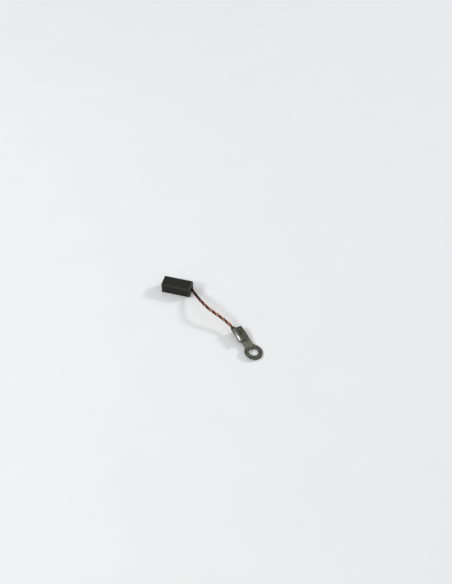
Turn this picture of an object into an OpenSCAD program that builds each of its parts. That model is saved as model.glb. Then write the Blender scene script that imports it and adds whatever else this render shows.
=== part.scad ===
// Carbon brush of a small motor: a carbon block with a copper pigtail that is
// tamped into its end and folded into a ring terminal.
// Millimetres. The origin is the middle of the block's underside, +X runs along
// the block towards the pigtail, and +Z is up. The brush lies on Z = 0.

/* [Carbon block] */
// Length of the block, contact face to pigtail face
block_length = 13.5; // [9:0.5:20]
// Width of the block, along the motor's shaft
block_width = 6; // [4.5:0.5:10]
// Thickness of the block, along the commutator's turn
block_height = 5; // [4:0.5:8]
// Bevel of the four long edges
edge_bevel = 0.25; // [0.1:0.05:0.5]
// Bevel around the pigtail face
face_bevel = 0.4; // [0.1:0.05:0.6]
// Radius of the commutator that the contact face is ground to
commutator_radius = 12.5; // [8:0.5:25]

/* [Tamped socket] */
// Wall of tamped copper powder around the pigtail
powder_wall = 0.45; // [0.3:0.05:0.6]
// Depth of the powder's face below the pigtail face
powder_recess = 0.9; // [0.7:0.1:1.5]
// Length of pigtail held in the powder
set_length = 3.6; // [2:0.2:5]
// Powder below the end of the pigtail
powder_floor = 0.6; // [0.4:0.1:1.5]
// Flare of the socket's mouth, measured on the radius
mouth_flare = 0.35; // [0.1:0.05:0.4]
// Clearance between the powder and what it touches
powder_clearance = 0.02; // [0.01:0.01:0.05]

/* [Pigtail] */
// Diameter of the copper pigtail
pigtail_diameter = 1.2; // [0.9:0.1:1.4]

/* [Ring terminal] */
// Thickness of the sheet
sheet = 0.5; // [0.4:0.05:0.8]
// Diameter of the screw hole
screw_hole = 4.3; // [3.2:0.1:5.3]
// Width of the ring's rim around the screw hole
rim_width = 1.85; // [1.2:0.05:2.5]
// Width of the neck
neck_width = 4.2; // [3.4:0.1:5]
// Radius between the neck and the ring
neck_fillet = 2; // [0.8:0.1:3]
// Distance from the barrel's mouth to the screw hole's middle
reach = 14.4; // [12:0.1:18]

/* [Folded barrel] */
// Length of the folded barrel
barrel_length = 7.7; // [5:0.1:8]
// Distance of the barrel's axis beside the neck's edge
barrel_offset = 0.25; // [0:0.05:0.6]
// Clearance between the barrel and the pigtail
barrel_clearance = 0.02; // [0.01:0.01:0.05]
// Radius of the valley between the barrel and the flap
valley_radius = 0.45; // [0.3:0.05:0.6]
// Seam between the flap and the sheet that it is pressed onto
flap_seam = 0.03; // [0.02:0.01:0.1]
// Angle that the flap springs back by
spring_back = 0.5; // [0:0.5:6]
// Distance of the flap's free edge inside the neck's edge
flap_inset = 0.15; // [0.1:0.05:0.8]
// Length that the flap's free edge loses at the ring's side
flap_rake = 1; // [0.2:0.1:2]
// Length of the slope that the flap's end is pressed to
flap_slope = 0.7; // [0.2:0.1:1]
// Distance of the pigtail's end inside the barrel's far mouth
wire_stop = 0.3; // [0.2:0.1:1.5]

/* [Lie of the terminal] */
// Turn of the terminal away from the block's length
heading = 46; // [30:1:60]
// Sideways lean of the terminal away from its barrel
lean = 9; // [0:0.5:15]

/* [Hidden] */
round_fn = 96;
cord_sides = 8;
over = 1;

pigtail_r = pigtail_diameter / 2;
face_x = block_length / 2;
mid_z = block_height / 2;

socket_r = pigtail_r + powder_wall;
socket_depth = powder_recess + set_length + powder_floor;

hole_r = screw_hole / 2;
ring_r = hole_r + rim_width;
neck_half = neck_width / 2;
barrel_in = pigtail_r + barrel_clearance;
barrel_out = barrel_in + sheet;
barrel_y = neck_half + barrel_offset;
barrel_z = sheet + barrel_in;

// The valley's arc touches the barrel's tube and the flap's underside.
valley_out = valley_radius + sheet;
valley_z = sheet + flap_seam + valley_out;
valley_y = sqrt(pow(barrel_in + valley_out, 2) - pow(valley_z - barrel_z, 2));
join_angle = atan2(valley_z - barrel_z, valley_y);
flap_width = barrel_y - valley_y + neck_half - flap_inset;

// Route of the pigtail's middle, from the powder's face to the barrel's mouth,
// counted from the middle of the pigtail face.
route = [
    [-0.9, 0, 0],
    [-0.1, -0.1, 0],
    [0.7, -0.6, 0.1],
    [1.5, -1.6, 0.4],
    [2.7, -3.0, 0.9],
    [4.0, -4.5, 1.4],
    [5.3, -6.0, 1.9],
    [6.7, -7.5, 2.3],
    [8.1, -8.8, 2.6],
    [9.6, -10.1, 2.8],
    [11.2, -11.2, 2.8],
    [13.0, -12.1, 2.6],
    [14.9, -12.9, 2.3],
    [16.8, -13.6, 1.9],
    [18.6, -14.3, 1.5],
    [20.4, -15.1, 1.1],
    [22.2, -16.1, 0.8],
    [24.2, -17.6, 0.5]
];
root = [face_x, 0, mid_z];
mouth = root + route[len(route) - 1];

// Height of the barrel's mouth over the floor that the ring touches, for a slope.
function mouth_height(slope) =
    reach * sin(slope)
    + (barrel_z * cos(lean) + barrel_y * sin(lean)) * cos(slope)
    + ring_r * sqrt(pow(sin(slope), 2) + pow(sin(lean) * cos(slope), 2));

// Slope at which the ring touches the floor, found by halving an interval.
function seated_slope(low, high, steps) =
    let(middle = (low + high) / 2)
    steps == 0 ? middle
    : mouth_height(middle) < mouth.z ? seated_slope(middle, high, steps - 1)
    : seated_slope(low, middle, steps - 1);

slope = seated_slope(-10, 40, 40);
along = [cos(slope) * cos(heading), -cos(slope) * sin(heading), -sin(slope)];

// The route with its straight ends in the powder and in the barrel.
held = barrel_length - wire_stop;
cord_line = [
    root + route[0] - [set_length, 0, 0],
    root + route[0] - [set_length / 2, 0, 0],
    for (point = route) root + point,
    for (part = [1:3]) mouth + along * held * part / 3
];

function unit(v) = v / norm(v);

function tangent(line, i) =
    unit(line[min(i + 1, len(line) - 1)] - line[max(i - 1, 0)]);

// Points of the ring of a swept tube at point i of its line.
function tube_ring(line, i, radius, sides) =
    let(
        ahead = tangent(line, i),
        side = unit(cross([0, 0, 1], ahead)),
        up = cross(ahead, side)
    )
    [for (k = [0:sides - 1]) line[i] + radius * (cos(360 * k / sides) * side + sin(360 * k / sides) * up)];

module swept_tube(line, radius, sides) {
    last = len(line) - 1;
    points = [for (i = [0:last]) each tube_ring(line, i, radius, sides)];
    walls = [
        for (i = [0:last - 1], k = [0:sides - 1])
            let(a = i * sides, b = a + sides, n = (k + 1) % sides)
            [a + k, b + k, b + n, a + n]
    ];
    start_cap = [for (k = [0:sides - 1]) k];
    end_cap = [for (k = [sides - 1:-1:0]) last * sides + k];
    polyhedron(points = points, faces = concat([start_cap], walls, [end_cap]));
}

// End view of the block: a rectangle with its four corners cut off.
module end_view() {
    side = block_width / 2;
    polygon([
        [edge_bevel - side, -mid_z],
        [side - edge_bevel, -mid_z],
        [side, edge_bevel - mid_z],
        [side, mid_z - edge_bevel],
        [side - edge_bevel, mid_z],
        [edge_bevel - side, mid_z],
        [-side, mid_z - edge_bevel],
        [-side, edge_bevel - mid_z]
    ]);
}

// Outline in plan and in side view: only the pigtail face is bevelled.
module long_view(width) {
    half = width / 2;
    polygon([
        [-face_x, -half],
        [face_x - face_bevel, -half],
        [face_x, face_bevel - half],
        [face_x, half - face_bevel],
        [face_x - face_bevel, half],
        [-face_x, half]
    ]);
}

module block_blank() {
    intersection() {
        linear_extrude(block_height)
            long_view(block_width);
        translate([0, block_width / 2 + over, mid_z])
            rotate([90, 0, 0])
                linear_extrude(block_width + 2 * over)
                    long_view(block_height);
        translate([-face_x, 0, mid_z])
            rotate([90, 0, 90])
                linear_extrude(block_length)
                    end_view();
    }
}

// The commutator that the contact face is ground to; its axis lies along Y.
module commutator() {
    sag = commutator_radius - sqrt(pow(commutator_radius, 2) - pow(mid_z, 2));
    translate([sag - commutator_radius - face_x, 0, mid_z])
        rotate([90, 0, 0])
            cylinder(h = block_width + 2 * over, r = commutator_radius, center = true, $fn = 4 * round_fn);
}

// Drilled socket with a flared mouth, counted inwards from the pigtail face.
module socket() {
    translate([face_x, 0, mid_z])
        rotate([0, 90, 0])
            rotate_extrude($fn = round_fn)
                polygon([
                    [0, -socket_depth],
                    [socket_r, -socket_depth],
                    [socket_r, -mouth_flare],
                    [socket_r + mouth_flare, 0],
                    [socket_r + mouth_flare, over],
                    [0, over]
                ]);
}

module carbon_block() {
    color("#2f2d2b")
        difference() {
            block_blank();
            commutator();
            socket();
        }
}

// Copper powder tamped around the end of the pigtail.
module tamping_plug() {
    outer = socket_r - powder_clearance;
    inner = pigtail_r + powder_clearance;
    bottom = powder_clearance - socket_depth;
    color("#3f231b")
        translate([face_x, 0, mid_z])
            rotate([0, 90, 0])
                rotate_extrude($fn = round_fn)
                    polygon([
                        [0, bottom],
                        [outer, bottom],
                        [outer, -powder_recess],
                        [inner, -powder_recess],
                        [inner, -powder_recess - set_length - powder_clearance],
                        [0, -powder_recess - set_length - powder_clearance]
                    ]);
}

module pigtail() {
    color("#a5623f")
        swept_tube(cord_line, pigtail_r, cord_sides);
}

// Band of a ring between two radii, from one angle to another less than 180 apart.
module arc_band(inner, outer, from, to) {
    far = 2 * outer;
    middle = (from + to) / 2;
    intersection() {
        difference() {
            circle(r = outer, $fn = round_fn);
            circle(r = inner, $fn = round_fn);
        }
        polygon([
            [0, 0],
            far * [cos(from), sin(from)],
            far * sqrt(2) * [cos(middle), sin(middle)],
            far * [cos(to), sin(to)]
        ]);
    }
}

// Section of the folded barrel: the sheet runs in from the neck's far edge,
// rolls round the pigtail and lies back over itself as the flap.
module barrel_section() {
    lap = 0.5;
    translate([-barrel_y, 0])
        square([barrel_y + neck_half, sheet]);
    translate([-barrel_y, barrel_z]) {
        arc_band(barrel_in, barrel_out, 180 - lap, 270 + lap);
        arc_band(barrel_in, barrel_out, 90 - lap, 180 + lap);
        arc_band(barrel_in, barrel_out, join_angle, 90 + lap);
    }
    translate([valley_y - barrel_y, valley_z]) {
        arc_band(valley_radius, valley_out, 180 + join_angle - lap, 270 + spring_back);
        rotate(spring_back)
            translate([0, -valley_out])
                square([flap_width, sheet]);
    }
}

// Space beyond the flap's end, which is raked in plan and slopes up from the neck.
module beyond_flap() {
    near = valley_y - barrel_y;
    far = neck_half + over;
    rake = flap_rake * (far - near) / (neck_half - near);
    rise = 2 * barrel_out;
    back = flap_slope * rise / sheet;
    translate([barrel_length - reach, 0, sheet + flap_seam / 2])
        polyhedron(
            points = [
                [over, near, 0], [0, near, 0], [-rake, far, 0], [over, far, 0],
                [over, near, rise], [-back, near, rise], [-back - rake, far, rise], [over, far, rise]
            ],
            faces = [[0, 3, 2, 1], [4, 5, 6, 7], [0, 1, 5, 4], [1, 2, 6, 5], [2, 3, 7, 6], [3, 0, 4, 7]]
        );
}

module folded_barrel() {
    difference() {
        translate([-reach, 0, 0])
            rotate([90, 0, 90])
                linear_extrude(barrel_length)
                    barrel_section();
        beyond_flap();
    }
}

// Corner between the neck's edge and the ring, rounded by a circle that touches both.
module neck_corner() {
    fillet_y = neck_half + neck_fillet;
    fillet_x = sqrt(pow(ring_r + neck_fillet, 2) - pow(fillet_y, 2));
    touch = ring_r / (ring_r + neck_fillet);
    difference() {
        polygon([[0, 0], [-fillet_x, 0], [-fillet_x, neck_half], touch * [-fillet_x, fillet_y]]);
        translate([-fillet_x, fillet_y])
            circle(r = neck_fillet, $fn = round_fn);
    }
}

// Plan of the neck and the ring around the screw hole.
module tongue_plan() {
    difference() {
        union() {
            circle(r = ring_r, $fn = round_fn);
            translate([barrel_length - reach - sheet, -neck_half])
                square([reach - barrel_length + sheet, neck_width]);
            neck_corner();
            mirror([0, 1])
                neck_corner();
        }
        circle(r = hole_r, $fn = round_fn);
    }
}

// The terminal in its own frame: the hole's middle at the origin, the ring's
// tip along +X and the barrel beside the neck's -Y edge.
module flat_terminal() {
    linear_extrude(sheet)
        tongue_plan();
    folded_barrel();
}

module ring_terminal() {
    color("#5f5e52")
        translate(mouth)
            rotate([-lean, slope, -heading])
                translate([reach, barrel_y, -barrel_z])
                    flat_terminal();
}

carbon_block();
tamping_plug();
pigtail();
ring_terminal();
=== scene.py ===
import math

import bmesh
import bpy
from bpy.props import FloatProperty, FloatVectorProperty, IntProperty, PointerProperty
from bpy.types import Operator, Panel, PropertyGroup
from mathutils import Matrix, Vector, noise


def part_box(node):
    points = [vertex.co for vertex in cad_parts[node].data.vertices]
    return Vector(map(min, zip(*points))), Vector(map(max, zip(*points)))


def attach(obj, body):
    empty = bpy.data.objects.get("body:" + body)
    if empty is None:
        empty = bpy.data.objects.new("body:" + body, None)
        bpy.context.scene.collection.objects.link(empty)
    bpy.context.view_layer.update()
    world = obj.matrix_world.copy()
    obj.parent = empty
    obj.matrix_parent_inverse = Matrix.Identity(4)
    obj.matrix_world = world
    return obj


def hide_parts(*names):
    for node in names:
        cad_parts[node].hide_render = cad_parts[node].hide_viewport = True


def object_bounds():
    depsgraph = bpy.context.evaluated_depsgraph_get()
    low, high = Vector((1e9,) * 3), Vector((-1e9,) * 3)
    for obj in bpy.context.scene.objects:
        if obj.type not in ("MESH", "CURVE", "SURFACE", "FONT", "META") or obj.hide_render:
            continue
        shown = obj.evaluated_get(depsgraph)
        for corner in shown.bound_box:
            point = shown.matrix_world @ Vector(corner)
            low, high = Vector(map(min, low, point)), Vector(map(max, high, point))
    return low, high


bl_info = {
    "name": "Carbon Brush",
    "version": (1, 0, 0),
    "blender": (4, 5, 0),
    "location": "View3D > Sidebar > Carbon Brush",
    "description": "Dresses a carbon brush: pressed block, powder, stranded pigtail and ring terminal",
    "category": "Add Mesh",
}

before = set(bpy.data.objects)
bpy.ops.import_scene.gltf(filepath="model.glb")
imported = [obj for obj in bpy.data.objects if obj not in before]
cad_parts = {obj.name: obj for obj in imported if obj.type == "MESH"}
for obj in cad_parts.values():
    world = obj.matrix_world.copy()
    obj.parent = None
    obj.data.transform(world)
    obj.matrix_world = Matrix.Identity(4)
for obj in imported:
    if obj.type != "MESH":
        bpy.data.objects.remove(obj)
cad_low, cad_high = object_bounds()
block_low, block_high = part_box("carbon_block")

MM = 0.001
SEED = 5

# Middle of the block's pigtail face, where the pigtail comes out.
ROOT = Vector((block_high.x, 0, (block_low.z + block_high.z) / 2))

# The pigtail's route, as the part's source has it: counted from ROOT, in metres.
ROUTE = [
    (-0.0009, 0, 0),
    (-0.0001, -0.0001, 0),
    (0.0007, -0.0006, 0.0001),
    (0.0015, -0.0016, 0.0004),
    (0.0027, -0.0030, 0.0009),
    (0.0040, -0.0045, 0.0014),
    (0.0053, -0.0060, 0.0019),
    (0.0067, -0.0075, 0.0023),
    (0.0081, -0.0088, 0.0026),
    (0.0096, -0.0101, 0.0028),
    (0.0112, -0.0112, 0.0028),
    (0.0130, -0.0121, 0.0026),
    (0.0149, -0.0129, 0.0023),
    (0.0168, -0.0136, 0.0019),
    (0.0186, -0.0143, 0.0015),
    (0.0204, -0.0151, 0.0011),
    (0.0222, -0.0161, 0.0008),
    (0.0242, -0.0176, 0.0005),
]
# Lengths of pigtail that are set in the powder and held in the barrel.
SET_LENGTH, HELD_LENGTH = 3.6 * MM, 7.4 * MM
# Shares of the pigtail's length between which its end turns from copper to tin.
TINNED_SHARES = (0.985, 0.99)
# Shares of its length between which it swells past the powder, and closes again before the barrel.
OPENING, CLOSING = (0.10, 0.17), (0.83, 0.76)

# Widths of the block's worn edges, which are also drawn pale as painted sheen: round the pigtail's face,
# and elsewhere.
FACE_WEAR_AND_SHEEN, EDGE_WEAR_AND_SHEEN = 0.4 * MM, 0.25 * MM
# Height of the block's grain, and cells per metre in the noises of its chips and grain.
GRAIN_HEIGHT = 0.004 * MM
CHIPS, SMALL_CHIPS, GRAIN = 1600, 4300, 6500
# Distances from ROOT between which copper dust comes onto the block, and how far they wander.
DUST, DUST_WANDER = (2.6 * MM, 1.6 * MM), 0.8 * MM

# Radius of the powder's bore, thickness of the floor behind it, and the depth that its lumps reach.
POWDER_BORE, POWDER_FLOOR, LUMPS_REACH = 0.62 * MM, 0.58 * MM, 0.3 * MM
POWDER_SIDES, POWDER_RINGS = 72, 10
# Cells per metre in the noises of the powder's lumps.
LUMPS, SMALL_LUMPS = 4200, 9000

# The terminal is turned, sloped and leaning. Its own directions are along its barrel, across its
# sheet and up from it, and its places are counted from the middle of its barrel's mouth.
MOUTH = ROOT + Vector(ROUTE[-1])
HEADING, SLOPE, LEAN = math.radians(46), math.radians(3.424), math.radians(9)
SLOPED = Matrix.Rotation(SLOPE, 3, "Y") @ Matrix.Rotation(-LEAN, 3, "X")
ALONG, ACROSS, UPWARDS = (Matrix.Rotation(-HEADING, 3, "Z") @ SLOPED).col
BARREL_END = 7.7 * MM
# The barrel's inner and outer radius.
BARREL_BORE, BARREL_ROUND = 0.62 * MM, 1.12 * MM
# The roll's outside: its least and greatest distance from the barrel's axis, how far it reaches
# across the sheet, and its lowest height over the axis.
ROLL_NEAR, ROLL_FAR, ROLL_SIDE, ROLL_LOW = 0.9 * MM, 1.25 * MM, 1 * MM, -0.6 * MM
# Where the flap starts and where the neck ends beyond it, across the sheet.
FLAP_START, NECK_EDGE = 1.4 * MM, 4.45 * MM
# How far from the neck's edge, and from the barrel's mouth, a face can be a cut one.
NECK_RIM, MOUTH_LENGTH = 0.5 * MM, 1 * MM
# The valley's arc, beside and over the barrel's axis, and its outer radius.
VALLEY_SIDE, VALLEY_RISE, VALLEY_ROUND = 1.528 * MM, 0.36 * MM, 0.95 * MM
# The way that the flat on the roll faces, where the closing tool pressed it.
FLAT = UPWARDS * 0.732 - ACROSS * 0.681

# Zones of the sheet's finish: where each starts and ends, and how soft its edges are.
TONGUE_ALONG = (7.8 * MM, 11.2 * MM, 0.8 * MM)
ROLL_ACROSS = (-1.6 * MM, 0.2 * MM, 0.3 * MM)
# The valley's zone is painted shade.
VALLEY_SHADE_ALONG, VALLEY_SHADE_ACROSS = (1.2 * MM, 7.8 * MM, 0.9 * MM), (0.9 * MM, 2.1 * MM, 0.5 * MM)
BEND_ALONG, BEND_ACROSS = (7.2 * MM, 8.2 * MM, 0.2 * MM), (0.4 * MM, 1.6 * MM, 0.2 * MM)
# How far the zones' edges wander, and distances along the sheet between which a finish comes or goes.
WANDER = 4 * MM
ROLL_ENDS, POLISH_COMES = (7.8 * MM, 7.6 * MM), (1.2 * MM, 5.5 * MM)
# The finishes at the barrel's mouth and over the ring's far side are painted shade.
MOUTH_SHADE_ENDS, RING_COMES, RING_FAR_SHADE_COMES = (1.1 * MM, 0.4 * MM), (10.8 * MM, 12 * MM), (17 * MM, 18.8 * MM)

# The tin in the barrel's end: its gap to the sheet, the point beside and over the barrel's axis that
# it closes on, and its loops' distances past the end, in millimetres, with their sizes.
TIN_GAP, TIN_SIDE, TIN_RISE = 0.02 * MM, 0.25 * MM, -0.15 * MM
TIN_LOOPS = ((-0.6, 1.0), (-0.03, 1.0), (0.05, 0.85), (0.08, 0.5))
# Angles of the tin's outline in the bore and under the valley, in degrees.
BORE_ANGLES, VALLEY_ANGLES = range(14, 271, 8), range(262, 195, -6)

# Distance under which points are one, and spare room when places are compared.
TOUCHING, SPARE = 0.001 * MM, 0.1 * MM

# Half of the floor's side, in metres.
FLOOR_REACH = 3.0
LIGHTS = (
    # name, direction towards the light, distance, side, power
    ("key", (1.44, 1.17, 1.0), 1.6, 0.26, 10.7),
    ("second", (-1.05, -0.88, 1.0), 1.0, 0.21, 3.5),
    ("glint", (-0.739, -0.105, 0.606), 0.9, 0.12, 1.3),
)


# Settings


def a_length(name, description, default):
    return FloatProperty(name=name, description=description, default=default, unit="LENGTH")


def a_share(name, description, default):
    return FloatProperty(name=name, description=description, default=default, subtype="FACTOR")


def a_count(name, description, default):
    return IntProperty(name=name, description=description, default=default, min=1)


def a_colour(name, description, default):
    return FloatVectorProperty(name=name, description=description, default=default, subtype="COLOR")


class CarbonBlockLook(PropertyGroup):
    cell: a_length("Mesh cell", "Size of the mesh's cells", 0.00011)
    edge_round: a_length("Edge rounding", "Rounding of every edge", 0.00006)
    chip_depth: a_length("Chip depth", "Depth of the chips along the edges", 0.00009)
    grain_depth: a_length("Grain depth", "Depth of the pressed grain", 0.00002)
    roughness: a_share("Roughness", "Roughness of the ground faces", 0.58)
    shine: a_share("Shine", "Strength of the block's reflections", 0.34)
    dark: a_colour("Dark carbon", "Colour of the dark grain", (0.0042, 0.0040, 0.0034))
    pale: a_colour("Pale carbon", "Colour of the pale grain", (0.0115, 0.0108, 0.0092))
    # The edges' pale colour is part wear and part painted sheen.
    rubbed: a_colour("Rubbed edge", "Colour of the rubbed edges", (0.048, 0.047, 0.044))
    # Painted glints: bright specks of graphite drawn into the colour.
    painted_glints: a_colour("Sparkle", "Colour of the graphite's bright specks", (0.10, 0.098, 0.094))
    dust: a_colour("Copper dust", "Colour of the copper dust round the socket", (0.040, 0.010, 0.007))


class PowderLook(PropertyGroup):
    lumps: a_length("Lumps", "Height of the powder's lumps", 0.00005)
    grain_depth: a_length("Grain depth", "Depth between the powder's grains", 0.00004)
    dark: a_colour("Dark powder", "Colour of the darkest grains", (0.045, 0.011, 0.008))
    copper: a_colour("Copper powder", "Colour of the brightest grains", (0.28, 0.075, 0.045))


class TerminalLook(PropertyGroup):
    edge_round: a_length("Edge rounding", "Rounding of the stamped edges", 0.00012)
    pressed_length: a_length("Pressed length", "Length of the barrel's pressed end", 0.0003)
    pressed_depth: a_length("Pressed depth", "Thinning of the barrel's wall at its end", 0.00007)
    flat_depth: a_length("Flat depth", "Deepest depth of the flat pressed along the roll", 0.000024)
    dent_depth: a_length("Dent depth", "Depth of the sheet's wide dents", 0.00003)
    mark_depth: a_length("Mark depth", "Depth of the sheet's fine marks and spots", 0.000003)
    mottling: a_share("Mottling", "Strength of the tarnish's wide patches", 0.6)
    roughness: a_share("Roughness", "Roughness of the plated sheet", 0.22)
    grey: a_colour("Grey", "Colour of the plain plate", (0.255, 0.255, 0.22))
    olive: a_colour("Olive", "Colour of the tarnished plate", (0.225, 0.225, 0.17))
    clean: a_colour("Clean", "Colour of the cleaner tongue", (0.315, 0.315, 0.25))
    rolled: a_colour("Rolled", "Colour of the barrel's polished roll", (0.27, 0.27, 0.255))
    ring: a_colour("Ring", "Colour of the ring", (0.20, 0.207, 0.172))
    # Painted shade: the dark band at the barrel's mouth.
    mouth: a_colour("Mouth", "Colour of the tarnish at the barrel's mouth", (0.032, 0.035, 0.025))
    # This dark colour serves the real spots and mottling, and also the painted shade in the valley and over
    # the ring's far side.
    stain_and_shade: a_colour("Stain", "Colour of the dark stains", (0.062, 0.051, 0.037))
    cut: a_colour("Cut edge", "Colour of the sheared edges", (0.075, 0.08, 0.078))


class PigtailLook(PropertyGroup):
    diameter: a_length("Diameter", "Diameter over the wires", 0.0012)
    bundles: a_count("Bundles", "Bundles twisted into the pigtail", 4)
    wires: a_count("Wires", "Wires round each bundle", 12)
    bundle_lay: a_length("Bundle lay", "Length of one turn of a bundle", 0.0072)
    wire_lay: a_length("Wire lay", "Length of one turn of a wire in its bundle", 0.0052)
    step: a_length("Step", "Distance between the rings of a wire", 0.00025)
    sides: a_count("Sides", "Sides of a wire", 6)
    swell: FloatProperty(name="Swell", description="Growth of the pigtail where it lies open", default=1.18)
    scratch_depth: a_length("Scratch depth", "Depth of the wires' scratches", 0.000004)
    # Painted shade: wires nearer the pigtail's middle than this share are drawn dark.
    shade_below: a_share("Dip", "Share of the radius below which a wire is dark", 0.72)
    # The pigtail is drawn darker near the block: darkest up to the first share, fading out by the second.
    darkest_up_to: a_share("Stained from", "Share of the length that is fully stained", 0.22)
    darker_up_to: a_share("Stained to", "Share of the length past which there is no stain", 0.5)
    dull: a_share("Dull bundles", "Brightness of every other bundle", 0.12)
    roughness: a_share("Roughness", "Roughness of the bright wires", 0.34)
    # This dark colour is both the oxidised wires' colour and the painted shade on the wires lying deeper in
    # the pigtail.
    oxide_and_shade: a_colour("Oxide", "Colour of the oxidised wires", (0.035, 0.011, 0.006))
    copper: a_colour("Copper", "Colour of the bright wires", (1.0, 0.51, 0.325))
    tinned: a_colour("Tinned end", "Colour of the tinned end in the barrel", (0.25, 0.25, 0.21))


class StageLook(PropertyGroup):
    floor: a_colour("Floor", "Colour of the floor", (0.80, 0.80, 0.80))
    room: a_colour("Room", "Colour of the room's light", (0.97, 0.985, 1.0))
    ambient: FloatProperty(
        name="Ambient", description="Strength of the room's light at its horizon", default=0.165
    )
    sky: FloatProperty(
        name="Sky", description="Gain of the room's light from its horizon to overhead", default=0.62
    )
    azimuth: FloatProperty(
        name="Azimuth",
        description="Direction that the camera looks from",
        default=math.radians(15.4),
        subtype="ANGLE",
    )
    elevation: FloatProperty(
        name="Elevation",
        description="Height of the camera over the horizon",
        default=math.radians(47.6),
        subtype="ANGLE",
    )
    distance: a_length("Distance", "Distance from the camera to its aim", 0.3856)
    aim: FloatVectorProperty(
        name="Aim",
        description="Point that the camera looks at",
        default=(0.02149, 0.00543, 0.0),
        subtype="TRANSLATION",
    )
    lens: FloatProperty(name="Lens", description="Focal length in millimetres", default=51.9)
    shift: FloatProperty(
        name="Shift", description="Shift of the picture, as a share of its longer side", default=-0.00171233
    )


# Node trees


def feed(tree, socket, value):
    """Links a node's input to another socket, or sets its value."""
    if isinstance(value, bpy.types.NodeSocket):
        tree.links.new(value, socket)
    else:
        socket.default_value = value


def add(tree, kind, inputs=None, **settings):
    """Adds a node, sets its own settings, and feeds its inputs."""
    node = tree.nodes.new(kind)
    for key, value in settings.items():
        setattr(node, key, value)
    for key, value in (inputs or {}).items():
        feed(tree, node.inputs[key], value)
    return node


def calc(tree, operation, *values):
    node = add(tree, "ShaderNodeMath", operation=operation)
    for socket, value in zip(node.inputs, values):
        feed(tree, socket, value)
    return node.outputs[0]


def vector_calc(tree, operation, *values, result="Vector", **inputs):
    node = add(tree, "ShaderNodeVectorMath", inputs, operation=operation)
    for socket, value in zip(node.inputs, values):
        feed(tree, socket, value)
    return node.outputs[result]


def times(tree, first, *others):
    """Product of two or more values."""
    for other in others:
        first = calc(tree, "MULTIPLY", first, other)
    return first


def plus(tree, first, *others):
    """Sum of two or more values."""
    for other in others:
        first = calc(tree, "ADD", first, other)
    return first


def minus(tree, first, second):
    return calc(tree, "SUBTRACT", first, second)


def remap(tree, value, low, high, to_low=0.0, to_high=1.0):
    """The value carried from one range to another, and held at its ends."""
    inputs = {"Value": value, "From Min": low, "From Max": high, "To Min": to_low, "To Max": to_high}
    return add(tree, "ShaderNodeMapRange", inputs).outputs["Result"]


def band(tree, value, low, high, soft):
    """One between two values, fading to nothing outside them."""
    rise = remap(tree, value, low - soft, low + soft)
    return times(tree, rise, remap(tree, value, high + soft, high - soft))


# Materials


def rgba(colour):
    return (*colour, 1.0)


def blend(tree, share, first, second):
    """Mix of two colours, each a socket or an RGBA value."""
    node = add(tree, "ShaderNodeMix", data_type="RGBA")
    for index, value in ((0, share), (6, first), (7, second)):
        feed(tree, node.inputs[index], value)
    return node.outputs[2]


def layered(tree, base, *layers):
    """A base colour with other colours laid over it, each by its share."""
    colour = rgba(base)
    for share, over in layers:
        colour = blend(tree, share, colour, rgba(over))
    return colour


def own_place(tree):
    """Place in the piece's own frame."""
    return add(tree, "ShaderNodeTexCoord").outputs["Object"]


def stored(tree, name):
    """A value that the mesh carries."""
    return add(tree, "ShaderNodeAttribute", attribute_name=name).outputs["Fac"]


def speckle(tree, place, scale, detail=3.0, roughness=0.6, stretch=None):
    if stretch is not None:
        place = add(tree, "ShaderNodeMapping", {"Vector": place, "Scale": stretch}).outputs[0]
    inputs = {"Vector": place, "Scale": scale, "Detail": detail, "Roughness": roughness}
    return add(tree, "ShaderNodeTexNoise", inputs).outputs["Fac"]


def bump(tree, height, distance, strength=1.0, normal=None):
    inputs = {"Height": height, "Distance": distance, "Strength": strength}
    if normal is not None:
        inputs["Normal"] = normal
    return add(tree, "ShaderNodeBump", inputs).outputs["Normal"]


def shader_input(shader, key):
    return shader.inputs[key.replace("_", " ").title().replace("Ior", "IOR")]


def new_finish(name, **constants):
    """A material with an empty tree but for its shader, whose constant sockets are set."""
    material = bpy.data.materials.new(name)
    material.use_nodes = True
    tree = material.node_tree
    tree.nodes.clear()
    shader = add(tree, "ShaderNodeBsdfPrincipled")
    for key, value in constants.items():
        shader_input(shader, key).default_value = value
    add(tree, "ShaderNodeOutputMaterial", {"Surface": shader.outputs[0]})
    return material, tree, shader


def wire_up(tree, shader, **sockets):
    for key, value in sockets.items():
        tree.links.new(value, shader_input(shader, key))


def carbon_finish(look):
    """Matte pressed carbon-graphite: fine grain, ground streaks, edges drawn paler as wear with painted
    sheen, and painted glints.
    """
    material, tree, shader = new_finish("pressed_carbon", specular_ior_level=look.shine)
    place = own_place(tree)
    grain = speckle(tree, place, 9000, 4, 0.7)
    cloud = speckle(tree, place, 700, 3)
    streak = speckle(tree, place, 5000, 2, 0.6, (0.06, 1, 1))
    # Painted sheen with the wear: the block's edges are drawn paler.
    rubbed = times(tree, remap(tree, grain, 0.3, 0.6, 0.4, 1.0), stored(tree, "rubbed"))
    # Painted glints in the grain.
    painted_glints = remap(tree, speckle(tree, place, 16000, 1), 0.66, 0.74, 0.0, 0.25)
    away = vector_calc(tree, "DISTANCE", place, ROOT, result="Value")
    dust = remap(tree, plus(tree, away, times(tree, grain, DUST_WANDER)), *DUST, 0.0, 0.85)
    colour = layered(
        tree,
        look.dark,
        (remap(tree, grain, 0.35, 0.65), look.pale),
        (remap(tree, cloud, 0.3, 0.7, 0.0, 0.35), look.dark),
        (rubbed, look.rubbed),
        (painted_glints, look.painted_glints),
        (dust, look.dust),
    )
    rough = remap(tree, streak, 0.3, 0.7, look.roughness - 0.08, look.roughness + 0.1)
    normal = bump(tree, grain, look.grain_depth)
    normal = bump(tree, streak, look.grain_depth * 0.5, normal=normal)
    wire_up(tree, shader, base_color=colour, roughness=rough, normal=normal)
    return material


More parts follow.
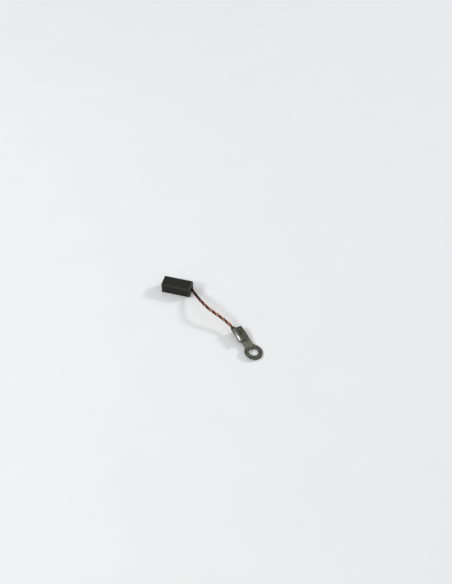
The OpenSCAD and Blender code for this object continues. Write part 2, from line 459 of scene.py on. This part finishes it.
def powder_finish(look):
    """Tamped copper powder: dull red-brown grains, darker in patches."""
    material, tree, shader = new_finish("tamped_powder", metallic=0.35)
    place = own_place(tree)
    grains = add(tree, "ShaderNodeTexVoronoi", {"Vector": place, "Scale": 11000})
    tint = add(tree, "ShaderNodeSeparateColor", {"Color": grains.outputs["Color"]}).outputs[0]
    soiled = remap(tree, speckle(tree, place, 2500), 0.35, 0.7, 0.0, 0.6)
    colour = layered(tree, look.dark, (tint, look.copper), (soiled, look.dark))
    rough = remap(tree, tint, 0, 1, 0.55, 0.85)
    normal = bump(tree, minus(tree, 1.0, grains.outputs["Distance"]), look.grain_depth)
    wire_up(tree, shader, base_color=colour, roughness=rough, normal=normal)
    return material


def copper_finish(look):
    """Bare copper wires: bright on the outside of the pigtail, with painted shade on the wires that lie
    deeper in it, and darker near the block.
    """
    material, tree, shader = new_finish("stranded_copper")
    place = own_place(tree)
    along = stored(tree, "along")
    bright = times(
        tree,
        # Painted shade: wires lying deeper in the pigtail are drawn dark.
        remap(tree, stored(tree, "proud"), look.shade_below, 1.0),
        # Darker near the block.
        remap(tree, along, look.darkest_up_to, look.darker_up_to, 0.15, 1.0),
        remap(tree, speckle(tree, place, 900, 3), 0.35, 0.6, 0.5, 1.0),
        remap(tree, stored(tree, "wire"), 0, 1, 0.55, 1.0),
        remap(tree, stored(tree, "tone"), 0, 1, look.dull, 1.0),
    )
    tinned = remap(tree, along, *TINNED_SHARES)
    colour = layered(tree, look.oxide_and_shade, (bright, look.copper), (tinned, look.tinned))
    metal = remap(tree, tinned, 0, 1, 0.9, 0.3)
    rough = remap(tree, bright, 0, 1, 0.5, look.roughness)
    normal = bump(tree, speckle(tree, place, 20000, 2), look.scratch_depth)
    wire_up(tree, shader, base_color=colour, metallic=metal, roughness=rough, normal=normal)
    return material


def from_mouth(tree, place, direction):
    """Distance from the barrel's mouth in a direction."""
    offset = vector_calc(tree, "SUBTRACT", place, MOUTH)
    return vector_calc(tree, "DOT_PRODUCT", offset, direction, result="Value")


def tinned_finish(look):
    """Tarnished tin plate: olive grey, cleaner on the tongue, darker at its sheared edges, with painted
    shade in the valley, at the barrel's mouth and over the ring's far side.
    """
    material, tree, shader = new_finish("tinned_sheet", metallic=0.9)
    place = own_place(tree)
    turned = add(tree, "ShaderNodeMapping", {"Vector": place, "Rotation": (0, 0, HEADING)}).outputs[0]
    cloud = speckle(tree, place, 420, 4)
    mottle = speckle(tree, place, 800, 3)
    spots = speckle(tree, place, 2400, 5, 0.7)
    marks = speckle(tree, turned, 6000, 2, 0.6, (0.05, 1, 1))
    cut = stored(tree, "cut")

    # The zones, whose edges wander with the clouds.
    wander = times(tree, minus(tree, cloud, 0.5), WANDER)
    along = plus(tree, from_mouth(tree, place, ALONG), wander)
    across = plus(tree, from_mouth(tree, place, ACROSS), wander)
    tongue = band(tree, along, *TONGUE_ALONG)
    roll = times(tree, band(tree, across, *ROLL_ACROSS), remap(tree, along, *ROLL_ENDS))
    polished = times(tree, roll, remap(tree, along, *POLISH_COMES))
    valley = times(tree, band(tree, across, *VALLEY_SHADE_ACROSS), band(tree, along, *VALLEY_SHADE_ALONG))
    bend = times(tree, band(tree, along, *BEND_ALONG), band(tree, across, *BEND_ACROSS))

    mottled = remap(tree, mottle, 0.58, 0.42, 0.0, look.mottling)
    colour = layered(
        tree,
        look.olive,
        (remap(tree, cloud, 0.35, 0.65), look.grey),
        (tongue, look.clean),
        (remap(tree, along, *RING_COMES), look.ring),
        (times(tree, mottled, remap(tree, tongue, 0, 1, 1.0, 0.4)), look.stain_and_shade),
        (remap(tree, spots, 0.48, 0.7, 0.0, 0.7), look.stain_and_shade),
        (times(tree, polished, 0.8), look.rolled),
        (remap(tree, marks, 0.35, 0.65, 0.0, 0.15), look.stain_and_shade),
        # Painted shade in the valley beside the roll.
        (times(tree, valley, 0.8), look.stain_and_shade),
        # Painted shade at the barrel's mouth.
        (remap(tree, along, *MOUTH_SHADE_ENDS, 0.0, 0.9), look.mouth),
        # Painted shade over the ring's far side.
        (remap(tree, along, *RING_FAR_SHADE_COMES, 0.0, 0.4), look.stain_and_shade),
        (cut, look.cut),
    )
    rough = plus(
        tree,
        remap(tree, spots, 0.3, 0.7, look.roughness - 0.04, look.roughness + 0.12),
        remap(tree, marks, 0.3, 0.7, -0.03, 0.03),
        remap(tree, cut, 0, 0.5, 0, 0.45),
        times(tree, bend, 0.3),
    )
    rough = times(tree, rough, remap(tree, polished, 0, 1, 1.0, 0.7))
    relief = remap(tree, roll, 0, 1, 1.0, 0.15)
    normal = bump(tree, cloud, look.dent_depth, relief)
    normal = bump(tree, marks, look.mark_depth, relief, normal)
    normal = bump(tree, spots, look.mark_depth, relief, normal)
    wire_up(tree, shader, base_color=colour, roughness=rough, normal=normal)
    return material


def floor_finish(look):
    """Plain pale board with a very faint unevenness."""
    material, tree, shader = new_finish("pale_board", roughness=0.75, specular_ior_level=0.2)
    paper = speckle(tree, own_place(tree), 40, 3)
    darker = [part * 0.985 for part in look.floor]
    wire_up(tree, shader, base_color=layered(tree, look.floor, (remap(tree, paper, 0.3, 0.7), darker)))
    return material


# Meshes


def object_of(data, name):
    made = bpy.data.objects.new(name, data)
    bpy.context.scene.collection.objects.link(made)
    return made


def merged_copy(node, name):
    """A copy of a CAD node with its doubles merged and its flat faces joined."""
    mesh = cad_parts[node].data.copy()
    mesh.name = name
    mesh.materials.clear()
    edit = bmesh.new()
    edit.from_mesh(mesh)
    bmesh.ops.remove_doubles(edit, verts=edit.verts, dist=TOUCHING)
    bmesh.ops.dissolve_limit(edit, angle_limit=math.radians(0.5), verts=edit.verts, edges=edit.edges)
    edit.to_mesh(mesh)
    edit.free()
    for layer in list(mesh.attributes):
        if layer.name.startswith("custom_normal"):
            mesh.attributes.remove(layer)
    return object_of(mesh, name)


def apply_all(made):
    """Puts the object's evaluated mesh in place of its own, and removes the modifiers."""
    seen = made.evaluated_get(bpy.context.evaluated_depsgraph_get())
    mesh = bpy.data.meshes.new_from_object(seen)
    made.modifiers.clear()
    old = made.data
    made.data = mesh
    mesh.name = made.name
    if old.users == 0:
        bpy.data.meshes.remove(old)


def round_edges(made, width, segments, degrees):
    """Rounds the object's edges where they are sharper than an angle."""
    rounding = made.modifiers.new("rounding", "BEVEL")
    rounding.width, rounding.segments = width, segments
    rounding.limit_method, rounding.angle_limit = "ANGLE", math.radians(degrees)
    apply_all(made)


def smooth_up_to(made, degrees):
    """Smooth shading with the edges past an angle kept sharp."""
    limit = math.radians(degrees)
    edit = bmesh.new()
    edit.from_mesh(made.data)
    for face in edit.faces:
        face.smooth = True
    for edge in edit.edges:
        edge.smooth = edge.is_boundary or not edge.is_manifold or edge.calc_face_angle(0) < limit
    edit.to_mesh(made.data)
    edit.free()


def skin(edit, loops, smooth):
    """Joins each loop of vertices to the next one with faces."""
    count = len(loops[0])
    for first, second in zip(loops, loops[1:]):
        for index in range(count):
            after = (index + 1) % count
            face = edit.faces.new((first[index], first[after], second[after], second[index]))
            face.smooth = smooth


def dress(made, node, material):
    """The piece takes a CAD node's place on the part's one body."""
    made.data.materials.clear()
    made.data.materials.append(material)
    for face in made.data.polygons:
        face.material_index = 0
    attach(made, "root")
    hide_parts(node)


# Carbon block


class CARBON_BRUSH_OT_block(Operator):
    """Make the pressed block with worn edges"""

    bl_idname = "carbon_brush.block"
    bl_label = "Carbon block"

    def execute(self, context):
        look = context.scene.carbon_block_look
        made = merged_copy("carbon_block", "pressed_block")
        round_edges(made, look.edge_round, segments=2, degrees=25)
        guide = object_of(made.data.copy(), "block_guide")
        cells = made.modifiers.new("cells", "REMESH")
        cells.mode, cells.voxel_size = "VOXEL", look.cell
        onto = made.modifiers.new("onto", "SHRINKWRAP")
        onto.target, onto.wrap_method = guide, "NEAREST_SURFACEPOINT"
        apply_all(made)
        bpy.data.objects.remove(guide)
        self.wear(made.data, look)
        for face in made.data.polygons:
            face.use_smooth = True
        dress(made, "carbon_block", carbon_finish(look))
        return {"FINISHED"}

    def wear(self, mesh, look):
        """Roughens the block, chips its edges and marks them to be drawn pale, as wear with painted sheen.
        """
        rubbed = mesh.attributes.new("rubbed", "FLOAT", "POINT")
        middle = (block_low + block_high) / 2
        half = (block_high - block_low) / 2
        normals = [vertex.normal.copy() for vertex in mesh.vertices]
        for vertex, normal in zip(mesh.vertices, normals):
            place = vertex.co - middle
            nearest, second = sorted((h - abs(c), axis) for axis, (h, c) in enumerate(zip(half, place)))[:2]
            at_face = place.x > 0 and 0 in (nearest[1], second[1])
            width = FACE_WEAR_AND_SHEEN if at_face else EDGE_WEAR_AND_SHEEN
            near = min(1.0, max(0.0, 1.8 - (nearest[0] + second[0]) / width))
            rubbed.data[vertex.index].value = near
            chips = max(0.0, noise.noise(vertex.co * CHIPS) - 0.25)
            chips += 0.5 * max(0.0, noise.noise(vertex.co * SMALL_CHIPS) - 0.2)
            grain = GRAIN_HEIGHT * noise.noise(vertex.co * GRAIN)
            vertex.co -= normal * (look.chip_depth * near * chips * 2 + grain)


# Tamped powder


class CARBON_BRUSH_OT_powder(Operator):
    """Make the tamped copper powder round the pigtail's root"""

    bl_idname = "carbon_brush.powder"
    bl_label = "Tamped powder"

    def execute(self, context):
        look = context.scene.powder_look
        low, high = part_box("tamping_plug")
        outer = (high.z - low.z) / 2
        edit = bmesh.new()
        loops = []
        for x, radius in self.profile(low.x, high.x, outer):
            loop = []
            for index in range(POWDER_SIDES):
                turn = 2 * math.pi * index / POWDER_SIDES
                point = Vector((x, ROOT.y + radius * math.cos(turn), ROOT.z + radius * math.sin(turn)))
                if x == high.x:
                    # The powder stands up at its rim and round the pigtail.
                    rim = abs(2 * (radius - POWDER_BORE) / (outer - POWDER_BORE) - 1)
                    lumps = noise.noise(point * LUMPS) + 0.6 * noise.noise(point * SMALL_LUMPS)
                    point.x += look.lumps * (lumps + 1.6 * rim**3 - 0.4)
                loop.append(edit.verts.new(point))
            loops.append(loop)
        skin(edit, loops, False)
        edit.faces.new(list(reversed(loops[0])))
        edit.faces.new(loops[-1])
        bmesh.ops.recalc_face_normals(edit, faces=edit.faces)
        mesh = bpy.data.meshes.new("tamped_powder")
        edit.to_mesh(mesh)
        edit.free()
        made = object_of(mesh, "tamped_powder")
        smooth_up_to(made, 50)
        dress(made, "tamping_plug", powder_finish(look))
        return {"FINISHED"}

    def profile(self, back, front, outer):
        """Places along X with radii: up the outside, in over the front face and down the bore."""
        rings = [(back, outer), (front - LUMPS_REACH, outer)]
        for step in range(POWDER_RINGS + 1):
            rings.append((front, outer + (POWDER_BORE - outer) * step / POWDER_RINGS))
        rings += [(front - LUMPS_REACH, POWDER_BORE), (back + POWDER_FLOOR, POWDER_BORE)]
        return rings


# Stranded pigtail


def pigtail_points():
    """Straight in the powder, then along the route, then straight in the barrel."""
    start = ROOT + Vector(ROUTE[0])
    points = [start - Vector((SET_LENGTH / part, 0, 0)) for part in (1, 2)]
    points += [ROOT + Vector(point) for point in ROUTE]
    points += [MOUTH + ALONG * HELD_LENGTH * part / 3 for part in (1, 2, 3)]
    return points


def route_curve(points, name):
    """A smooth curve through the points."""
    curve = bpy.data.curves.new(name, "CURVE")
    curve.dimensions = "3D"
    curve.resolution_u = 12
    spline = curve.splines.new("BEZIER")
    spline.bezier_points.add(len(points) - 1)
    for knot, point in zip(spline.bezier_points, points):
        knot.co = point
        knot.handle_left_type = knot.handle_right_type = "AUTO"
    return curve


def geometry(tree, kind, inputs=None, result="Geometry", **settings):
    return add(tree, f"GeometryNode{kind}", inputs, **settings).outputs[result]


def scaled(tree, direction, size):
    return vector_calc(tree, "SCALE", direction, Scale=size)


def packed(tree, radius, count):
    """Radius of each of count circles that touch each other inside a circle of that radius."""
    sine = calc(tree, "SINE", calc(tree, "DIVIDE", math.pi, count))
    return times(tree, radius, calc(tree, "DIVIDE", sine, plus(tree, 1.0, sine)))


def twisted(tree, line, count, lay, radius, phase):
    """Copies of the line, each moved out by a radius and twisted round the line, and their numbers."""
    inputs = {"Geometry": line, "Amount": count}
    copies = add(tree, "GeometryNodeDuplicateElements", inputs, domain="SPLINE").outputs
    place = geometry(tree, "SplineParameter", result="Length")
    first_turn = calc(tree, "DIVIDE", copies["Duplicate Index"], count)
    turns = plus(tree, first_turn, calc(tree, "DIVIDE", place, lay))
    turn = plus(tree, times(tree, turns, 2 * math.pi), phase)
    normal = geometry(tree, "InputNormal", result="Normal")
    tangent = geometry(tree, "InputTangent", result="Tangent")
    across = vector_calc(tree, "CROSS_PRODUCT", tangent, normal)
    out = vector_calc(
        tree,
        "ADD",
        scaled(tree, normal, calc(tree, "COSINE", turn)),
        scaled(tree, across, calc(tree, "SINE", turn)),
    )
    moved = {"Geometry": copies["Geometry"], "Offset": scaled(tree, out, radius)}
    return geometry(tree, "SetPosition", moved), copies["Duplicate Index"]


def kept(tree, line, name, value, domain="POINT"):
    """The geometry with a value stored on it by name."""
    inputs = {"Geometry": line, "Name": name, "Value": value}
    return geometry(tree, "StoreNamedAttribute", inputs, data_type="FLOAT", domain=domain)


def captured(tree, line, kind, name, value):
    """The geometry, and a value as it is at this step."""
    node = add(tree, "GeometryNodeCaptureAttribute", {"Geometry": line})
    node.capture_items.new(kind, name)
    tree.links.new(value, node.inputs[name])
    return node.outputs["Geometry"], node.outputs[name]


def random_value(tree, highest, number, seed):
    """A value between nothing and the highest that each number draws for itself."""
    inputs = {"Min": 0.0, "Max": highest, "ID": number, "Seed": seed}
    return add(tree, "FunctionNodeRandomValue", inputs, data_type="FLOAT").outputs["Value"]


STRAND_INPUTS = {
    "Diameter": "Float",
    "Bundles": "Int",
    "Wires": "Int",
    "Bundle lay": "Float",
    "Wire lay": "Float",
    "Swell": "Float",
    "Step": "Float",
    "Sides": "Int",
    "Seed": "Int",
    "Finish": "Material",
}


def strand_tree():
    """Geometry nodes that twist wires into bundles, and the bundles into a pigtail, along a curve."""
    tree = bpy.data.node_groups.new("twisted_strands", "GeometryNodeTree")
    face = tree.interface
    face.new_socket("Geometry", in_out="INPUT", socket_type="NodeSocketGeometry")
    for name, kind in STRAND_INPUTS.items():
        face.new_socket(name, in_out="INPUT", socket_type=f"NodeSocket{kind}")
    face.new_socket("Geometry", in_out="OUTPUT", socket_type="NodeSocketGeometry")
    given = add(tree, "NodeGroupInput").outputs

    steps = {"Curve": given["Geometry"], "Length": given["Step"]}
    line = geometry(tree, "ResampleCurve", steps, "Curve", mode="LENGTH")
    share = geometry(tree, "SplineParameter", result="Factor")
    line = kept(tree, line, "along", share)
    open_part = times(tree, remap(tree, share, *OPENING), remap(tree, share, *CLOSING))
    swell = plus(tree, 1.0, times(tree, open_part, minus(tree, given["Swell"], 1.0)))
    place = geometry(tree, "InputPosition", result="Position")
    line, middle = captured(tree, line, "VECTOR", "Middle", place)

    whole = calc(tree, "DIVIDE", given["Diameter"], 2.0)
    bundle = packed(tree, whole, given["Bundles"])
    wire = packed(tree, bundle, given["Wires"])
    out = times(tree, minus(tree, whole, bundle), swell)
    line, number = twisted(tree, line, given["Bundles"], given["Bundle lay"], out, 0.0)
    line = kept(tree, line, "tone", calc(tree, "MODULO", number, 2.0), "CURVE")
    # Each bundle's wires start at an angle of their own, in radians.
    start = random_value(tree, 6.283, number, given["Seed"])
    line, phase = captured(tree, line, "FLOAT", "Phase", start)

    loose = add(tree, "ShaderNodeTexNoise", {"Scale": 1100.0, "Detail": 1.0}).outputs["Fac"]
    spread = times(tree, minus(tree, bundle, wire), remap(tree, loose, 0.3, 0.7, 0.86, 1.04), swell)
    line, number = twisted(tree, line, given["Wires"], given["Wire lay"], spread, phase)
    away = vector_calc(tree, "DISTANCE", place, middle, result="Value")
    line = kept(tree, line, "proud", calc(tree, "DIVIDE", away, minus(tree, whole, wire)))
    own = plus(tree, times(tree, number, 7.0), geometry(tree, "InputIndex", result="Index"))
    line = kept(tree, line, "wire", random_value(tree, 1.0, own, given["Seed"]), "CURVE")

    round_wire = {"Resolution": given["Sides"], "Radius": wire}
    ring = geometry(tree, "CurvePrimitiveCircle", round_wire, "Curve", mode="RADIUS")
    tube = geometry(tree, "CurveToMesh", {"Curve": line, "Profile Curve": ring, "Fill Caps": True}, "Mesh")
    tube = geometry(tree, "SetShadeSmooth", {"Geometry": tube})
    tube = geometry(tree, "RealizeInstances", {"Geometry": tube})
    tube = geometry(tree, "SetMaterial", {"Geometry": tube, "Material": given["Finish"]})
    add(tree, "NodeGroupOutput", {"Geometry": tube})
    return tree


def set_inputs(modifier, values):
    """Sets a node modifier's inputs, found by name and set by identifier."""
    for item in modifier.node_group.interface.items_tree:
        if item.in_out == "INPUT" and item.name in values:
            modifier[item.identifier] = values[item.name]


def arc(side, rise, radius, angles):
    """Points at angles round a centre, each beside and over the barrel's axis."""
    turns = [math.radians(angle) for angle in angles]
    return [(side + radius * math.cos(turn), rise + radius * math.sin(turn)) for turn in turns]


class CARBON_BRUSH_OT_pigtail(Operator):
    """Twist the copper pigtail along its route"""

    bl_idname = "carbon_brush.pigtail"
    bl_label = "Stranded pigtail"

    def execute(self, context):
        look = context.scene.pigtail_look
        points = pigtail_points()
        line = object_of(route_curve(points, "pigtail_line"), "pigtail_line")
        strands = line.modifiers.new("strands", "NODES")
        strands.node_group = strand_tree()
        finish = copper_finish(look)
        values = {"Seed": SEED, "Finish": finish}
        for name in STRAND_INPUTS:
            if name not in values:
                values[name] = getattr(look, name.lower().replace(" ", "_"))
        set_inputs(strands, values)
        seen = line.evaluated_get(context.evaluated_depsgraph_get())
        mesh = bpy.data.meshes.new_from_object(seen)
        bpy.data.objects.remove(line)
        self.tin_end(mesh)
        made = object_of(mesh, "stranded_pigtail")
        dress(made, "pigtail", finish)
        return {"FINISHED"}

    def tin_end(self, mesh):
        """Fills the barrel's end round the cut wires with tin, in the bore and under the valley."""
        outline = arc(0, 0, BARREL_BORE - TIN_GAP, BORE_ANGLES)
        outline += arc(VALLEY_SIDE, VALLEY_RISE, VALLEY_ROUND + TIN_GAP, VALLEY_ANGLES)
        edit = bmesh.new()
        edit.from_mesh(mesh)
        share = edit.verts.layers.float["along"]
        loops = []
        for past, size in TIN_LOOPS:
            loop = []
            for side, rise in outline:
                place = MOUTH + ALONG * (BARREL_END + past * MM)
                place += ACROSS * (TIN_SIDE + (side - TIN_SIDE) * size)
                made = edit.verts.new(place + UPWARDS * (TIN_RISE + (rise - TIN_RISE) * size))
                made[share] = 1.0
                loop.append(made)
            loops.append(loop)
        skin(edit, loops, True)
        edit.faces.new(loops[-1])
        edit.to_mesh(mesh)
        edit.free()


# Ring terminal


class CARBON_BRUSH_OT_terminal(Operator):
    """Make the folded ring terminal with rounded edges"""

    bl_idname = "carbon_brush.terminal"
    bl_label = "Ring terminal"

    def execute(self, context):
        look = context.scene.terminal_look
        made = merged_copy("ring_terminal", "folded_terminal")
        self.press(made.data, look)
        round_edges(made, look.edge_round, segments=3, degrees=40)
        smooth_up_to(made, 30)
        self.mark_cuts(made.data)
        dress(made, "ring_terminal", tinned_finish(look))
        return {"FINISHED"}

    def press(self, mesh, look):
        """Thins the barrel's wall at its end, and flattens the roll where the closing tool pressed it."""
        edit = bmesh.new()
        edit.from_mesh(mesh)
        for step in (0.25, 0.5, 0.75, 1.0):
            everything = edit.verts[:] + edit.edges[:] + edit.faces[:]
            place = MOUTH + ALONG * (BARREL_END - look.pressed_length * step)
            bmesh.ops.bisect_plane(edit, geom=everything, plane_co=place, plane_no=ALONG, dist=TOUCHING)
        for vertex in edit.verts:
            place = vertex.co - MOUTH
            along, across, height = place.dot(ALONG), place.dot(ACROSS), place.dot(UPWARDS)
            over = place.dot(FLAT) - BARREL_ROUND + look.flat_depth * along / BARREL_END
            if over > 0 and along < BARREL_END + SPARE:
                vertex.co -= FLAT * over
            out = math.hypot(across, height)
            on_roll = ROLL_NEAR < out < ROLL_FAR and across < ROLL_SIDE and height > ROLL_LOW
            share = 1 - (BARREL_END - along) / look.pressed_length
            if on_roll and 0 < share < 1.001:
                vertex.co -= (ACROSS * across + UPWARDS * height) / out * look.pressed_depth * share**2
        edit.to_mesh(mesh)
        edit.free()

    def mark_cuts(self, mesh):
        """Marks what the stamping tool cut: the rims in full, the barrel's and the flap's ends by half."""
        cut = mesh.attributes.new("cut", "FLOAT", "FACE")
        for face in mesh.polygons:
            place = face.center - MOUTH
            along, across = place.dot(ALONG), place.dot(ACROSS)
            ahead, upwards = face.normal.dot(ALONG), face.normal.dot(UPWARDS)
            on_flap = across > FLAP_START
            at_rim = along > BARREL_END + SPARE or across > NECK_EDGE - NECK_RIM
            slope = ahead > 0.08 and on_flap and along < BARREL_END
            end = abs(ahead) > 0.6 and (along < MOUTH_LENGTH or on_flap)
            if at_rim and abs(upwards) < 0.97:
                cut.data[face.index].value = 1.0
            elif slope or end:
                cut.data[face.index].value = 0.5


# Stage


class CARBON_BRUSH_OT_stage(Operator):
    """Make the floor, the lights and the camera"""

    bl_idname = "carbon_brush.stage"
    bl_label = "Floor, lights and camera"

    def execute(self, context):
        look = context.scene.stage_look
        self.make_floor(look)
        self.light_room(context.scene, look)
        self.hang_lamps()
        self.set_camera(context.scene, look)
        return {"FINISHED"}

    def make_floor(self, look):
        mesh = bpy.data.meshes.new("floor")
        corners = [(FLOOR_REACH * x, FLOOR_REACH * y, 0) for x, y in ((-1, -1), (1, -1), (1, 1), (-1, 1))]
        mesh.from_pydata(corners, [], [(0, 1, 2, 3)])
        mesh.materials.append(floor_finish(look))
        floor = object_of(mesh, "floor")
        floor.location.z = cad_low.z

    def light_room(self, scene, look):
        """Even light from all round that grows from the horizon to overhead."""
        world = bpy.data.worlds.new("room")
        world.use_nodes = True
        tree = world.node_tree
        around = add(tree, "ShaderNodeTexCoord").outputs["Generated"]
        height = add(tree, "ShaderNodeSeparateXYZ", {"Vector": around}).outputs["Z"]
        light = tree.nodes["Background"].inputs
        light["Color"].default_value = rgba(look.room)
        strength = remap(tree, height, 0, 1, look.ambient, look.ambient + look.sky)
        tree.links.new(strength, light["Strength"])
        scene.world = world
        scene.view_settings.view_transform = "Standard"
        scene.view_settings.look = "None"

    def hang_lamps(self):
        middle = (cad_low + cad_high) / 2
        for name, towards, distance, side, power in LIGHTS:
            lamp = bpy.data.lights.new(name, "AREA")
            lamp.size, lamp.energy = side, power
            lit = object_of(lamp, name)
            lit.location = middle + Vector(towards).normalized() * distance
            lit.rotation_euler = (middle - lit.location).to_track_quat("-Z", "Y").to_euler()
            lit.visible_camera = False

    def set_camera(self, scene, look):
        lens = bpy.data.cameras.new("camera")
        lens.lens, lens.sensor_width, lens.shift_y = look.lens, 36, look.shift
        lens.clip_start, lens.clip_end = 0.01, 20
        camera = object_of(lens, "camera")
        level = math.cos(look.elevation)
        back = Vector(
            (level * math.sin(look.azimuth), -level * math.cos(look.azimuth), math.sin(look.elevation))
        )
        camera.location = Vector(look.aim) + back * look.distance
        camera.rotation_euler = (-back).to_track_quat("-Z", "Y").to_euler()
        scene.camera = camera


# Add-on

# Each step's operator, its settings and their name in the scene, in the order of making.
STEPS = (
    (CARBON_BRUSH_OT_block, CarbonBlockLook, "carbon_block_look"),
    (CARBON_BRUSH_OT_powder, PowderLook, "powder_look"),
    (CARBON_BRUSH_OT_terminal, TerminalLook, "terminal_look"),
    (CARBON_BRUSH_OT_pigtail, PigtailLook, "pigtail_look"),
    (CARBON_BRUSH_OT_stage, StageLook, "stage_look"),
)


class CARBON_BRUSH_PT_panel(Panel):
    bl_idname = "CARBON_BRUSH_PT_panel"
    bl_label = "Carbon Brush"
    bl_space_type = "VIEW_3D"
    bl_region_type = "UI"
    bl_category = "Carbon Brush"

    def draw(self, context):
        for operator, _, settings in STEPS:
            box = self.layout.box()
            box.operator(operator.bl_idname)
            group = getattr(context.scene, settings)
            for name in group.bl_rna.properties.keys():
                if name not in {"rna_type", "name"}:
                    box.prop(group, name)


def register():
    for operator, group, settings in STEPS:
        bpy.utils.register_class(group)
        setattr(bpy.types.Scene, settings, PointerProperty(type=group))
        bpy.utils.register_class(operator)
    bpy.utils.register_class(CARBON_BRUSH_PT_panel)


def unregister():
    bpy.utils.unregister_class(CARBON_BRUSH_PT_panel)
    for operator, group, settings in reversed(STEPS):
        bpy.utils.unregister_class(operator)
        delattr(bpy.types.Scene, settings)
        bpy.utils.unregister_class(group)


def main():
    register()
    for operator, _, _ in STEPS:
        group, name = operator.bl_idname.split(".")
        getattr(getattr(bpy.ops, group), name)()


if __name__ == "__main__":
    main()
